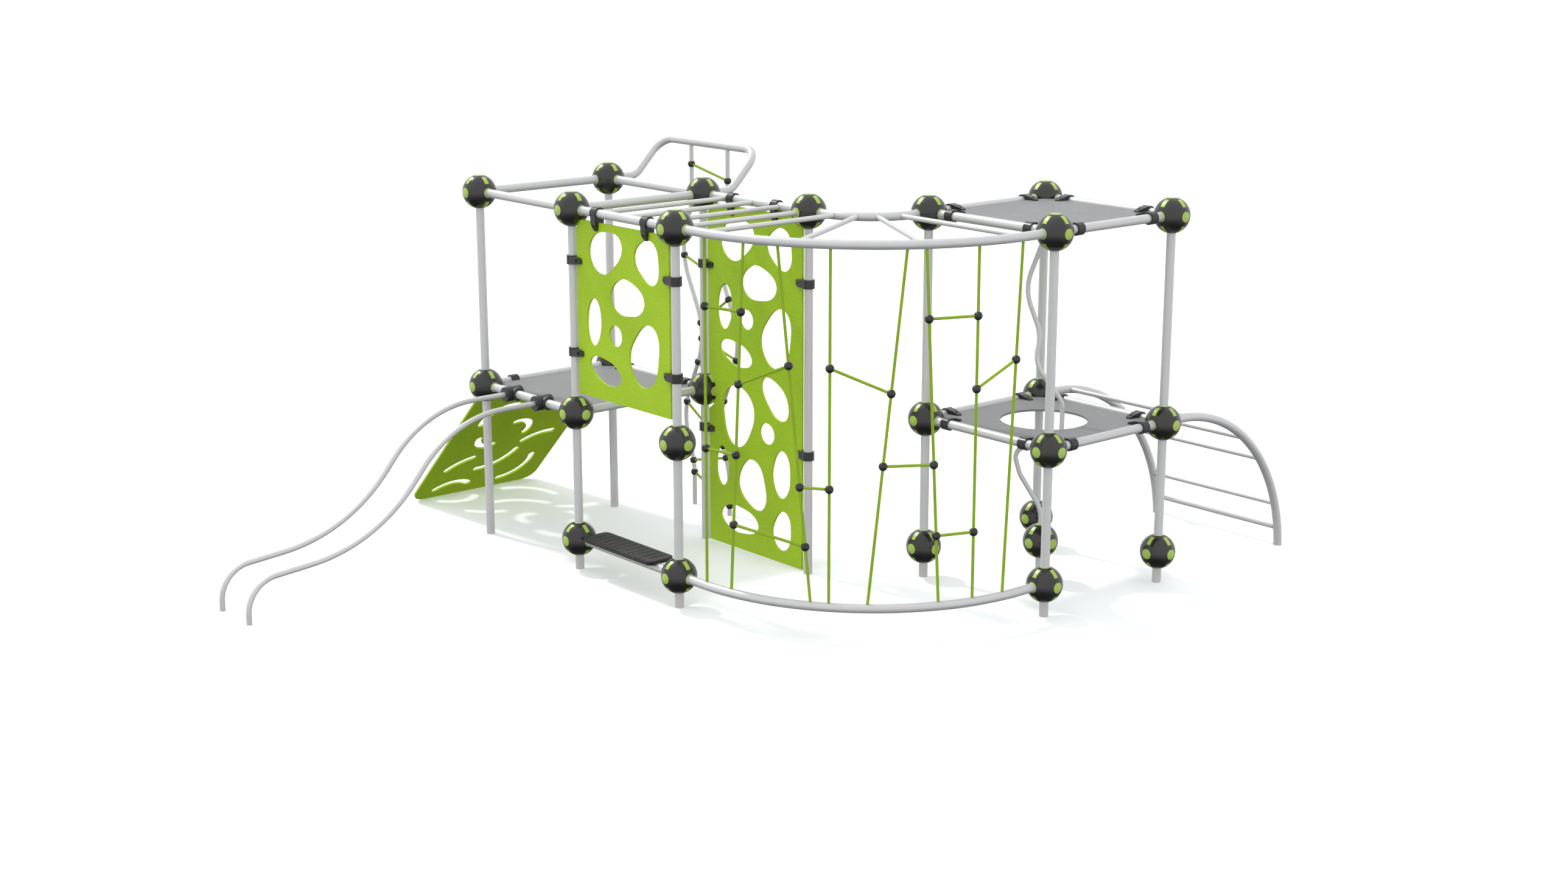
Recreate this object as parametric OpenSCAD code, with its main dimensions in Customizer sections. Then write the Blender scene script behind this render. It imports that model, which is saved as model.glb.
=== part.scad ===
// Modular climbing frame of round tubes and ball hubs, in millimetres, +Z up, ground at z = 0.
// A low tower, a quarter-circle bridge of monkey bars and a tall tower stand on one square grid.
// A ramp, a pair of slide rails, two hole panels, a rope net, a rope ladder, a waved pole and
// an arched ladder hang on them. Grid X runs along the bridge, grid Y runs away from the front.

/* [Grid] */
// Distance between neighbouring posts, centre to centre
pitch = 900; // [700:10:1100]
// Height of the lowest hub centres above the ground
low_z = 175; // [140:5:260]
// Rise from the lowest hubs to the deck level
low_rise = 720; // [600:10:900]
// Rise from the deck level to the top level
top_rise = 1120; // [900:10:1400]

/* [Tubes] */
// Outer diameter of the posts, rails and arches
tube_d = 48.3; // [42.4:0.1:60.3]
// Wall of those tubes
tube_wall = 3.2; // [2:0.1:5]
// Outer diameter of the rungs and the waved poles
rung_d = 26.9; // [21.3:0.1:33.7]
// Outer diameter of the two slide rails
slide_d = 30; // [25:0.5:42]
// Wall of the rungs, poles and slide rails
thin_wall = 2.6; // [2:0.1:4]

/* [Hubs] */
// Outer diameter of a ball hub
hub_d = 193; // [160:1:230]
// Diameter of the six round ports in a hub
port_d = 57; // [52:0.5:64]
// Thickness of the hub shell
shell_t = 12.5; // [8:0.5:18]
// Length of a coloured tab along the hub's meridian
tab_len = 52; // [30:1:60]
// Width of a coloured tab
tab_w = 25; // [12:1:32]
// Height of the tab's middle above the hub's equator, in degrees
tab_rise = 47.5; // [42:0.5:52]
// Height of the small hub that carries the waved pole
pole_hub_z = 220; // [190:5:300]

/* [Bridge] */
// Straight stretch of the outer curved rail next to each hub
outer_straight = 195; // [120:5:400]
// Straight stretch of the inner curved rail next to each hub
inner_straight = 115; // [100:5:200]

/* [Plates] */
// Thickness of the decks, panels and ramp
plate_t = 12; // [8:0.5:20]
// Distance from a rail's axis to the edge of a deck or of the ramp
deck_edge = 26.5; // [26:0.5:45]
// Distance from a post's axis to the edge of a hole panel
panel_side = 46; // [30:1:60]
// Distance from the top rail's axis down to the front panel
front_drop = 48; // [30:1:60]
// Height of the front panel
front_h = 957; // [700:1:1100]
// Distance from the top rail's axis down to the tall panel
tall_drop = 40; // [30:1:60]
// Gap between the tall panel and the ground
tall_foot = 10; // [5:1:60]
// Diameter of the climbing hole in the deck of the tall tower
deck_hole_d = 470; // [380:10:560]
// Slope of the ramp, in degrees
ramp_slope = 44.6; // [35:0.1:60]

/* [Attachments] */
// How far the clamp's finger reaches from the tube's axis
clamp_reach = 95; // [80:1:120]
// Distance from the first slide rail to the corner post
slide_x = 289; // [200:1:400]
// Distance between the two slide rails
slide_gap = 297; // [200:1:400]
// How far the slide rails run out from the tower
slide_run = 1858; // [1700:10:2200]
// How far the grab loop stands out from the low tower
loop_out = 405; // [300:5:500]
// How far the grab loop's bar is above the top rails
loop_up = 212; // [150:1:300]
// How far the arched ladder runs out from the tall tower
arch_run = 1075; // [1000:5:1300]
// Length of the step tread
tread_len = 612; // [400:1:680]
// Depth of the step tread
tread_w = 172; // [120:1:220]
// Thickness of the step tread
tread_t = 22; // [16:1:35]

/* [Ropes] */
// Diameter of every rope
rope_d = 16; // [12:0.5:20]
// Diameter of the beads where ropes meet
bead_d = 45; // [38:1:60]

/* [Fits] */
// Clearance between two pieces that sit in or on each other
fit = 0.3; // [0.1:0.05:0.6]
// Clearance between a welded rung and its rail
weld = 0.2; // [0.1:0.05:0.5]
// How much slimmer a tube is in its bends, on its radius
bend_slim = 0.25; // [0.2:0.05:0.5]
// Distance kept between a hub and a plate's cut corner
hub_clear = 4; // [2:1:20]

/* [Output] */
// Name of the one node to draw, or all

/* [Hidden] */
$fn = 64;

mid_z = low_z + low_rise;
top_z = mid_z + top_rise;
tube_r = tube_d / 2;
rung_r = rung_d / 2;
hub_r = hub_d / 2;
rope_r = rope_d / 2;
bead_r = bead_d / 2;

hub_core_r = 50;
hub_seat = 52;
spigot_len = 80;
spigot_r = tube_r - tube_wall - fit;
port_floor = hub_r - 14;
tab_floor = hub_r - 8;

outer_bend = 1.5 * pitch - outer_straight;
inner_bend = 0.5 * pitch - inner_straight;
outer_mid = [2 * pitch + outer_straight, outer_bend];
inner_mid = [2 * pitch + inner_straight, pitch + inner_bend];

// The ramp's own middle plane passes through the rail's axis.
ramp_len = (mid_z - plate_t / 2 * cos(ramp_slope)) / sin(ramp_slope);

arch_bend = mid_z + 50;
arch_y = 2.5 * pitch + arch_run;
arch_sink = arch_bend - mid_z;

// The part's origin is under the middle of everything that is drawn.
x_min = -ramp_len * cos(ramp_slope) - plate_t / 2 * sin(ramp_slope);
x_max = 3.5 * pitch + hub_r;
y_min = -slide_run - slide_d / 2;
y_max = arch_y - arch_bend + sqrt(pow(arch_bend + tube_r, 2) - pow(max(arch_sink, 0), 2));
origin = [(x_min + x_max) / 2, (y_min + y_max) / 2, 0];

// Grid places of the posts, in pitches.
place_a = [0, 0];
place_b = [1, 0];
place_c = [2, 0];
place_a2 = [0, 1];
place_b2 = [1, 1];
place_c2 = [2, 1];
place_e = [2.5, 1.5];
place_d = [3.5, 1.5];
place_f = [2.5, 2.5];
place_g = [3.5, 2.5];
place_p = [3, 2];

// Each hub: its place, then its ports in the order +X -X +Y -Y +Z -Z.
// 0 is a closed port, 1 holds a post or rail, 2 holds a rung or waved pole.
top_hubs = [
    [place_a, [1, 0, 1, 0, 0, 1]], [place_a2, [1, 0, 1, 1, 0, 1]],
    [place_b, [1, 1, 1, 0, 0, 1]], [place_b2, [1, 1, 1, 1, 0, 1]],
    [place_c, [1, 1, 2, 0, 0, 1]], [place_c2, [1, 1, 0, 2, 0, 1]],
    [place_d, [0, 1, 1, 1, 0, 1]], [place_e, [1, 0, 1, 1, 0, 1]],
    [place_f, [1, 0, 0, 1, 0, 1]], [place_g, [0, 1, 0, 1, 0, 1]]];
mid_hubs = [
    [place_a, [1, 0, 1, 0, 1, 1]], [place_a2, [1, 0, 0, 1, 1, 1]],
    [place_b, [0, 1, 1, 0, 1, 1]], [place_b2, [0, 1, 0, 1, 1, 1]],
    [place_c, [0, 0, 0, 0, 1, 1]], [place_d, [0, 1, 1, 0, 1, 1]],
    [place_e, [1, 0, 1, 0, 1, 1]], [place_f, [1, 0, 1, 1, 1, 1]],
    [place_g, [0, 1, 1, 1, 1, 1]]];
low_hubs = [
    [place_b, [1, 0, 0, 0, 1, 1]], [place_c, [1, 1, 0, 0, 1, 1]],
    [place_d, [0, 0, 0, 1, 1, 1]], [place_e, [0, 0, 0, 0, 1, 1]],
    [place_f, [0, 0, 0, 0, 1, 1]], [place_g, [0, 0, 0, 0, 1, 1]]];
pole_hubs = [[place_p, [0, 0, 0, 0, 2, 1]]];

// Rope net: angle of each rope at its top and at its foot on the outer bend, and the heights
// of its beads as fractions of the drop from the top rail to the bottom rail.
net_drop = top_z - low_z;
net_ropes = [
    [-88, -88, [1/5, 3/5]],
    [-75, -79.3, [1/5, 2/5, 3/5, 4/5]],
    [-65.5, -56.6, [1/3, 2/3, 5/6]],
    [-52, -52, [1/3, 2/3]],
    [-33.4, -42.4, [2/5, 3/5]],
    [-28.8, -24.3, [1/5, 3/5, 4/5]],
    [-15, -15, [1/5, 2/5, 4/5]],
    [-1.6, -5.8, [1/3]]];
// Short ropes of the net: rope and bead number at one end, then at the other.
net_links = [
    [0, 0, 1, 0], [1, 1, 2, 0], [0, 1, 1, 2], [1, 3, 2, 2], [2, 1, 3, 1],
    [3, 0, 4, 0], [4, 1, 5, 1], [5, 0, 6, 0], [6, 1, 7, 0], [5, 2, 6, 2]];

// Rope ladder: two waved poles under the grab loop. Sideways shift, then drop under the top
// rails as a fraction of their height.
ladder_x = [0.314 * pitch, 0.689 * pitch];
ladder_wave = [[0, 0.074], [-118, 0.223], [126, 0.467], [-108, 0.715], [0, 0.871]];
ladder_bend = 400;
// Drops of the beads on the first pole and on the second pole, rope by rope.
ladder_links = [
    [-0.039, -0.005], [0.236, 0.295], [0.431, 0.343], [0.478, 0.519],
    [0.552, 0.652], [0.684, 0.791], [0.862, 0.825], [0.898, 0.97]];

// Waved pole of the tall tower: shift along the deck's diagonal, drop under the top deck as
// a fraction of its height over the pole's hub, bend radius.
pole_wave = [
    [0, 0.033, 250], [-122, 0.223, 280], [-28, 0.362, 250], [-58, 0.446, 170],
    [98, 0.568, 120], [96, 0.669, 55], [-158, 0.719, 55], [-122, 0.791, 150],
    [0, 0.903, 200]];

// Angles of the arched ladder's rungs down from the crown, in degrees.
arch_rungs = [7.2, 38, 50.5, 71, 80.5];
// Angles of the curved bridge's rungs on the inner bend and on the outer bend.
bend_rungs = [[-75, -89], [-54, -60.5], [-36, -29.5], [-15, -1]];

// Pebble holes. Middle across and down from the top rail's axis, mean radius,
// then the strength and direction of the long axis and of the three-cornered bulge.
front_holes = [
    [-152, -199, 131, 0.17, 23, 0.06, 23],
    [219, -206, 111, 0.07, -65, 0.08, 59],
    [36, -423, 124, 0.21, 1, 0.05, -15],
    [-258, -590, 98, 0.34, 86, 0.01, -10],
    [-67, -638, 57, 0, 0, 0, 0],
    [188, -714, 149, 0.18, 71, 0.06, -57],
    [-160, -846, 106, 0.36, -13, 0.03, 29]];
low_holes = [
    [180, -1075, 113, 0.24, -44, 0.04, 30],
    [-146, -1222, 158, 0.13, 86, 0.06, 19],
    [108, -1284, 62, 0.02, -11, 0, 0],
    [230, -1498, 108, 0.28, 86, 0.03, -50],
    [-19, -1606, 132, 0.11, -71, 0.07, -47],
    [-286, -1545, 87, 0.36, -89, 0.03, -13],
    [-141, -1835, 124, 0.36, -2, 0.03, 3],
    [235, -1824, 98, 0.19, 79, 0.05, -49]];
low_shift = -25;

// Arc slots of the ramp: middle across and up the slope, radius, start and end angle.
ramp_slots = [
    [315, 831, 150, 75, 190],
    [466, 670, 100, -25, 108],
    [756, 351, 232, 84, 134],
    [325, 628, 96, 178, 294],
    [339, 170, 252, 104, 146],
    [364, 493, 231, -90, -17],
    [580, 268, 180, -83, 15],
    [261, -25, 168, 50, 137]];
slot_w = 46;
// Sizes that the holes, slots and slide path above are laid out for. They stretch with the part.
across_k = (pitch - 2 * panel_side) / 808;
front_k = front_h / 957;
tall_k = (top_z - tall_drop - tall_foot) / 1965;
ramp_k = min(pitch / 900, ramp_len / 1261);
slide_k = mid_z / 895;

clamp_band_r = tube_r + 9.5;
clamp_band_w = 48;
clamp_at = 168;
screw_y = 66;
panel_clamps = [226, front_h - 226];
tall_clamps = [352 * tall_k, 1302 * tall_k];
hanger_front = 219;
hanger_tall = 186;
ramp_clamps = [190, pitch - 190];
tee_l = 100;
tee_back = 45;

// ---------------------------------------------------------------- helpers

function unit(v) = v / norm(v);
function at(place, z) = [place[0] * pitch, place[1] * pitch, z];
function turn_at(p, i) = acos(unit(p[i] - p[i - 1]) * unit(p[i + 1] - p[i]));
function setback(p, r, i) = (i == 0 || i == len(p) - 1) ? 0 : r[i] * tan(turn_at(p, i) / 2);

// Middle of the bend at corner i of a path.
function bend_mid(p, r, i) =
    let (d1 = unit(p[i] - p[i - 1]), d2 = unit(p[i + 1] - p[i]))
    p[i] + unit(d2 - d1) * r[i] / cos(turn_at(p, i) / 2);

// Sideways place of a flat path [x, z] at height z.
function path_x(p, r, z) = concat(
    [for (i = [0 : len(p) - 2])
        let (d = unit(p[i + 1] - p[i]), a = p[i] + d * setback(p, r, i),
             b = p[i + 1] - d * setback(p, r, i + 1))
        if ((a[1] - z) * (b[1] - z) <= 0) a[0] + (b[0] - a[0]) * (z - a[1]) / (b[1] - a[1])],
    [for (i = [1 : len(p) - 2])
        let (s = setback(p, r, i), c = bend_mid(p, r, i),
             za = p[i][1] - unit(p[i] - p[i - 1])[1] * s,
             zb = p[i][1] + unit(p[i + 1] - p[i])[1] * s)
        if ((za - z) * (zb - z) <= 0)
            c[0] + sign(p[i][0] - c[0]) * sqrt(max(0, pow(r[i], 2) - pow(z - c[1], 2)))])[0];

// Puts the origin under the middle of the whole part.
module placed() { translate(-origin) children(); }

// Own X along ex, own Y along ey, at o.
module framed(o, ex, ey) {
    ez = cross(ex, ey);
    multmatrix([[ex[0], ey[0], ez[0], o[0]],
                [ex[1], ey[1], ez[1], o[1]],
                [ex[2], ey[2], ez[2], o[2]],
                [0, 0, 0, 1]]) children();
}

module rod(p, q, r) {
    d = q - p;
    translate(p) rotate([0, acos(d[2] / norm(d)), atan2(d[1], d[0])])
        cylinder(h = norm(d), r = r);
}

// Round bar along a path with one bend radius for each corner. A bend is a little slimmer
// than the straight stretches, and its ends reach a little way into them.
module bar_path(p, bends, r, over = 0) {
    for (i = [0 : len(p) - 2]) {
        d = unit(p[i + 1] - p[i]);
        rod(p[i] + d * (i == 0 ? -over : setback(p, bends, i)),
            p[i + 1] - d * (i == len(p) - 2 ? -over : setback(p, bends, i + 1)), r);
    }
    for (i = [1 : len(p) - 2]) {
        d1 = unit(p[i] - p[i - 1]);
        c = bend_mid(p, bends, i);
        start = p[i] - d1 * setback(p, bends, i);
        reach = 57 / bends[i];
        framed(c, unit(start - c), d1)
            rotate([0, 0, -reach]) rotate_extrude(angle = turn_at(p, i) + 2 * reach, $fn = 144)
                translate([bends[i], 0]) circle(r = r - bend_slim);
    }
}

// Hollow tube along a path.
module tube_path(p, bends, r, wall) {
    difference() {
        bar_path(p, bends, r);
        bar_path(p, bends, r - wall, 1);
    }
}

// Straight tube between two hubs, cut to sit over their spigots.
module hub_tube(p, q) {
    d = unit(q - p);
    difference() {
        rod(p + d * hub_seat, q - d * hub_seat, tube_r);
        rod(p + d * (hub_seat - 1), q - d * (hub_seat - 1), tube_r - tube_wall);
    }
}

// Post from the ground up to a hub.
module ground_tube(place, z) {
    difference() {
        rod(at(place, 0), at(place, z - hub_seat), tube_r);
        rod(at(place, -1), at(place, z - hub_seat + 1), tube_r - tube_wall);
    }
}

// Rung between two rail axes, cut to the rails that run along u and v there.
module rung(p, q, u, v) {
    difference() {
        rod(p, q, rung_r);
        rod(p, q, rung_r - thin_wall);
        rod(p - u * 60, p + u * 60, tube_r + weld);
        rod(q - v * 60, q + v * 60, tube_r + weld);
    }
}

// ---------------------------------------------------------------- posts and rails

module ground_posts() {
    color("silver") placed() for (p = [place_a, place_a2, place_b2]) ground_tube(p, mid_z);
}

module stub_posts() {
    color("silver") placed() {
        for (p = [place_b, place_c, place_d, place_e, place_f, place_g]) ground_tube(p, low_z);
        ground_tube(place_p, pole_hub_z);
    }
}

module lower_posts() {
    color("silver") placed()
        for (p = [place_b, place_c, place_d, place_e, place_f, place_g])
            hub_tube(at(p, low_z), at(p, mid_z));
}

module upper_posts() {
    color("silver") placed() for (h = mid_hubs) hub_tube(at(h[0], mid_z), at(h[0], top_z));
}

module tall_post() { color("silver") placed() ground_tube(place_c2, top_z); }

module low_square(z) {
    hub_tube(at(place_a, z), at(place_b, z));
    hub_tube(at(place_a2, z), at(place_b2, z));
    hub_tube(at(place_a, z), at(place_a2, z));
    hub_tube(at(place_b, z), at(place_b2, z));
}

module tall_square(z) {
    hub_tube(at(place_e, z), at(place_d, z));
    hub_tube(at(place_f, z), at(place_g, z));
    hub_tube(at(place_e, z), at(place_f, z));
    hub_tube(at(place_d, z), at(place_g, z));
}

module low_tower_top_rails() { color("silver") placed() low_square(top_z); }
module low_tower_deck_rails() { color("silver") placed() low_square(mid_z); }
module tall_tower_top_rails() { color("silver") placed() tall_square(top_z); }
module tall_tower_deck_rails() { color("silver") placed() tall_square(mid_z); }

module bridge_rails() {
    color("silver") placed() {
        hub_tube(at(place_b, top_z), at(place_c, top_z));
        hub_tube(at(place_b2, top_z), at(place_c2, top_z));
    }
}

module step_rail() {
    color("silver") placed() hub_tube(at(place_b, low_z), at(place_c, low_z));
}

// Rail that turns a quarter circle between two hubs.
module corner_rail(from, corner, to, z, bend) {
    tube_path([at(from, z) + [hub_seat, 0, 0], at(corner, z), at(to, z) - [0, hub_seat, 0]],
              [0, bend, 0], tube_r, tube_wall);
}

module outer_rail_top() {
    color("silver") placed() corner_rail(place_c, [3.5, 0], place_d, top_z, outer_bend);
}

module outer_rail_bottom() {
    color("silver") placed() corner_rail(place_c, [3.5, 0], place_d, low_z, outer_bend);
}

module inner_rail_top() {
    color("silver") placed() corner_rail(place_c2, [2.5, 1], place_e, top_z, inner_bend);
}

module bridge_rungs() {
    color("gainsboro") placed() for (x = [1.25, 1.5, 1.75])
        rung(at([x, 0], top_z), at([x, 1], top_z), [1, 0, 0], [1, 0, 0]);
}

module bridge_end_rung() {
    color("gainsboro") placed() difference() {
        rod(at(place_c, top_z) + [0, spigot_len + fit, 0],
            at(place_c2, top_z) - [0, spigot_len + fit, 0], rung_r);
        rod(at(place_c, top_z), at(place_c2, top_z), rung_r - thin_wall);
    }
}

function on_bend(mid, bend, a, z) = [mid[0] + bend * cos(a), mid[1] + bend * sin(a), z];
function along(a) = [-sin(a), cos(a), 0];

module bend_rungs() {
    color("gainsboro") placed() for (a = bend_rungs)
        rung(on_bend(inner_mid, inner_bend, a[0], top_z),
             on_bend(outer_mid, outer_bend, a[1], top_z), along(a[0]), along(a[1]));
}

// ---------------------------------------------------------------- hubs

module at_hubs(hubs, z) { for (h = hubs) translate(at(h[0], z)) children(); }

module at_all_hubs() {
    at_hubs(top_hubs, top_z) children();
    at_hubs(mid_hubs, mid_z) children();
    at_hubs(low_hubs, low_z) children();
    at_hubs(pole_hubs, pole_hub_z) children();
}

// Turns own +Z to port number i.
module to_port(i) {
    rotate([[0, 90, 0], [0, -90, 0], [-90, 0, 0], [90, 0, 0], [0, 0, 0], [180, 0, 0]][i])
        children();
}

module hub_core() {
    sphere(r = hub_core_r);
    for (i = [0, 2, 4]) to_port(i) cylinder(r = spigot_r, h = 2 * spigot_len, center = true);
}

module tab_block(gap) {
    for (side = [-1, 1], a = [0 : 90 : 270])
        rotate([0, -side * tab_rise, a])
            translate([tab_floor - gap, -tab_w / 2 - gap, -tab_len / 2 - gap])
                cube([20, tab_w + 2 * gap, tab_len + 2 * gap]);
}

// Half a hub shell. The seam passes between the side ports.
module hub_half(side) {
    difference() {
        sphere(r = hub_r);
        sphere(r = hub_r - shell_t);
        for (i = [0, 2, 4]) to_port(i) cylinder(r = port_d / 2, h = 3 * hub_r, center = true);
        tab_block(fit);
        rotate([0, 0, 45 + (side > 0 ? 180 : 0)]) translate([-hub_r - 1, -fit / 2, -hub_r - 1])
            cube([2 * hub_r + 2, hub_r + 2, 2 * hub_r + 2]);
    }
}

module hub_shell() { hub_half(-1); hub_half(1); }

// What fills a port: a cap without a bore, or a ring around a tube.
module port_plug(bore_r) {
    intersection() {
        sphere(r = hub_r, $fn = 180);
        difference() {
            translate([0, 0, port_floor]) cylinder(r = port_d / 2 - fit, h = 20);
            if (bore_r > 0) translate([0, 0, port_floor - 1]) cylinder(r = bore_r, h = 22);
        }
    }
}

module plugs(kind, bore_r) {
    for (level = [[top_hubs, top_z], [mid_hubs, mid_z], [low_hubs, low_z],
                  [pole_hubs, pole_hub_z]])
        for (h = level[0], i = [0 : 5])
            if (h[1][i] == kind) translate(at(h[0], level[1])) to_port(i) port_plug(bore_r);
}

module tabs() { intersection() { sphere(r = hub_r, $fn = 180); tab_block(0); } }

module hub_cores() { color("dimgray") placed() at_all_hubs() hub_core(); }
module hub_shells_top() { color("darkslategray") placed() at_hubs(top_hubs, top_z) hub_shell(); }
module hub_shells_mid() { color("darkslategray") placed() at_hubs(mid_hubs, mid_z) hub_shell(); }

module hub_shells_low() {
    color("darkslategray") placed() {
        at_hubs(low_hubs, low_z) hub_shell();
        at_hubs(pole_hubs, pole_hub_z) hub_shell();
    }
}

module hub_collars() { color("yellowgreen") placed() plugs(1, tube_r + fit); }
module hub_caps() { color("yellowgreen") placed() plugs(0, 0); }
module hub_adapters() { color("yellowgreen") placed() plugs(2, rung_r + fit); }
module hub_tabs_top() { color("yellowgreen") placed() at_hubs(top_hubs, top_z) tabs(); }
module hub_tabs_mid() { color("yellowgreen") placed() at_hubs(mid_hubs, mid_z) tabs(); }

module hub_tabs_low() {
    color("yellowgreen") placed() {
        at_hubs(low_hubs, low_z) tabs();
        at_hubs(pole_hubs, pole_hub_z) tabs();
    }
}

// ---------------------------------------------------------------- clamps

// Draws children at each clamp of a group, own X along the tube, own Y towards the plate.
module at_tall_deck_clamps(z) {
    for (k = [0 : 3], s = [-1, 1])
        translate(at(place_p, z)) rotate([0, 0, 90 * k])
            translate([s * (pitch / 2 - clamp_at), -pitch / 2, 0]) children();
}

module at_low_deck_clamps() {
    for (s = [-1, 1])
        framed(at([0.5, 1], mid_z) + [s * (pitch / 2 - clamp_at), 0, 0],
               [-1, 0, 0], [0, -1, 0]) children();
}

module at_ramp_clamps() {
    for (y = ramp_clamps)
        framed([0, y, mid_z], [0, -1, 0], [-cos(ramp_slope), 0, -sin(ramp_slope)]) children();
}

// Hangers on the top rail of a panel whose middle is at grid place [1.5, row].
module at_hangers(row, half) {
    for (s = [-1, 1])
        framed(at([1.5, row], top_z) + [s * half, 0, 0], [1, 0, 0], [0, 0, -1]) children();
}

// Clamps on the two posts beside a panel, measured down from its top edge.
module at_side_clamps(row, drop, downs) {
    for (d = downs) {
        framed(at([1, row], top_z - drop - d), [0, 0, -1], [1, 0, 0]) children();
        framed(at([2, row], top_z - drop - d), [0, 0, 1], [-1, 0, 0]) children();
    }
}

// One jaw of a clamp. The band closes round the tube and the finger lies on the plate,
// whose edge is at distance edge from the tube's axis.
module jaw(edge) {
    low = plate_t / 2 + fit;
    difference() {
        union() {
            rotate([0, 90, 0])
                cylinder(r = clamp_band_r, h = clamp_band_w, center = true);
            intersection() {
                rotate([90, 0, 90]) linear_extrude(height = clamp_band_w - 6, center = true)
                    polygon([[4, 0], [edge - fit, 0], [edge - fit, low], [clamp_reach, low],
                             [clamp_reach, low + 5], [clamp_reach - 6, low + 8],
                             [edge + 16, clamp_band_r - 6], [26, clamp_band_r - 3],
                             [4, clamp_band_r - 2]]);
                linear_extrude(height = 60)
                    polygon([[-21, 0], [21, 0], [21, 45], [15, clamp_reach - 5],
                             [11, clamp_reach], [-11, clamp_reach], [-15, clamp_reach - 5],
                             [-21, 45]]);
            }
        }
        rotate([0, 90, 0]) cylinder(r = tube_r + fit, h = clamp_band_w + 2, center = true);
        translate([-60, -60, fit / 2 - 100]) cube([120, 220, 100]);
        translate([-60, edge - fit, -1]) cube([120, 100, low + 1]);
        translate([0, screw_y, 0]) cylinder(r = 4.3, h = 60);
        translate([0, screw_y, plate_t / 2 + 7]) cylinder(r = 7, h = 60);
    }
}

module clamp(edge) { jaw(edge); mirror([0, 0, 1]) jaw(edge); }

module clamp_screw() {
    translate([0, screw_y, 0]) {
        cylinder(r = 4, h = plate_t + 14, center = true);
        for (s = [0, 1]) mirror([0, 0, s])
            translate([0, 0, plate_t / 2 + 7]) cylinder(r = 6.5, h = 4.5);
    }
}

// Hole in a plate for a clamp's screw.
module screw_hole() { translate([0, screw_y, 0]) cylinder(r = 4.3, h = 80, center = true); }

module deck_clamps_low() { color("#222222") placed() at_low_deck_clamps() clamp(deck_edge); }
module deck_clamps_mid() {
    color("#222222") placed() at_tall_deck_clamps(mid_z) clamp(deck_edge);
}
module deck_clamps_top() {
    color("#222222") placed() at_tall_deck_clamps(top_z) clamp(deck_edge);
}

module panel_clamps() {
    color("#222222") placed() {
        difference() {
            at_hangers(0, hanger_front) clamp(front_drop);
            for (x = [0.25, 0.75]) translate(at([1 + x, 0], top_z))
                rotate([-90, 0, 0]) cylinder(r = rung_r + fit, h = 60);
        }
        at_hangers(1, hanger_tall) clamp(tall_drop);
        at_side_clamps(0, front_drop, panel_clamps) clamp(panel_side);
        at_side_clamps(1, tall_drop, tall_clamps) clamp(panel_side);
    }
}

module ramp_clamps() { color("#222222") placed() at_ramp_clamps() clamp(deck_edge); }

module clamp_screws() {
    color("gray") placed() {
        at_tall_deck_clamps(mid_z) clamp_screw();
        at_tall_deck_clamps(top_z) clamp_screw();
        at_low_deck_clamps() clamp_screw();
        at_ramp_clamps() clamp_screw();
        at_hangers(0, hanger_front) clamp_screw();
        at_hangers(1, hanger_tall) clamp_screw();
        at_side_clamps(0, front_drop, panel_clamps) clamp_screw();
        at_side_clamps(1, tall_drop, tall_clamps) clamp_screw();
    }
}

// ---------------------------------------------------------------- plates

// How much of a plate's corner is cut off so that it clears a hub.
function corner_cut(edge_a, edge_b) = (hub_r + hub_clear) * sqrt(2) - edge_a - edge_b;

module deck_plate(half) {
    c = corner_cut(deck_edge, deck_edge);
    linear_extrude(height = plate_t, center = true)
        polygon([[-half + c, -half], [half - c, -half], [half, -half + c], [half, half - c],
                 [half - c, half], [-half + c, half], [-half, half - c], [-half, -half + c]]);
}

module low_deck() {
    color("darkgray") placed() difference() {
        translate(at([0.5, 0.5], mid_z)) deck_plate(pitch / 2 - deck_edge);
        for (x = [slide_x, slide_x + slide_gap])
            translate([x - tee_l / 2 - 2, 0, mid_z - 20]) cube([tee_l + 4, tee_back + 3, 40]);
        for (y = ramp_clamps)
            translate([0, y - clamp_band_w / 2 - 2, mid_z - 20])
                cube([clamp_band_r + 2, clamp_band_w + 4, 40]);
        at_low_deck_clamps() screw_hole();
    }
}

module tall_deck_mid() {
    color("darkgray") placed() difference() {
        translate(at(place_p, mid_z)) deck_plate(pitch / 2 - deck_edge);
        translate(at(place_p, mid_z)) cylinder(d = deck_hole_d, h = 40, center = true);
        at_tall_deck_clamps(mid_z) screw_hole();
    }
}

module tall_deck_top() {
    color("darkgray") placed() difference() {
        translate(at(place_p, top_z)) deck_plate(pitch / 2 - deck_edge);
        at_tall_deck_clamps(top_z) screw_hole();
    }
}

// Radius of a pebble hole at angle a: an ellipse drawn towards a rounded triangle.
function pebble_r(h, a) =
    let (p = 1 + h[3], q = 1 - h[3], t = a - h[4])
    h[2] * p * q / norm([q * cos(t), p * sin(t)]) * (1 + h[5] * cos(3 * (a - h[6])));

// Outline of one pebble hole. k is how much the panel's height is stretched.
module pebble(h, k, shift = 0) {
    size = min(across_k, k);
    translate([h[0] * across_k, (h[1] + shift) * k])
        polygon([for (a = [0 : 7.5 : 359]) size * pebble_r(h, a) * [cos(a), sin(a)]]);
}

// Stands a flat outline up as a panel between the posts of one row.
module upright(row) {
    translate(at([1.5, row], top_z)) rotate([90, 0, 0])
        linear_extrude(height = plate_t, center = true) children();
}

module panel_outline(drop, foot) {
    half = pitch / 2 - panel_side;
    c = corner_cut(panel_side, drop);
    polygon([[-half, -foot], [half, -foot], [half, -drop - c], [half - c, -drop],
             [-half + c, -drop], [-half, -drop - c]]);
}

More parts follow.
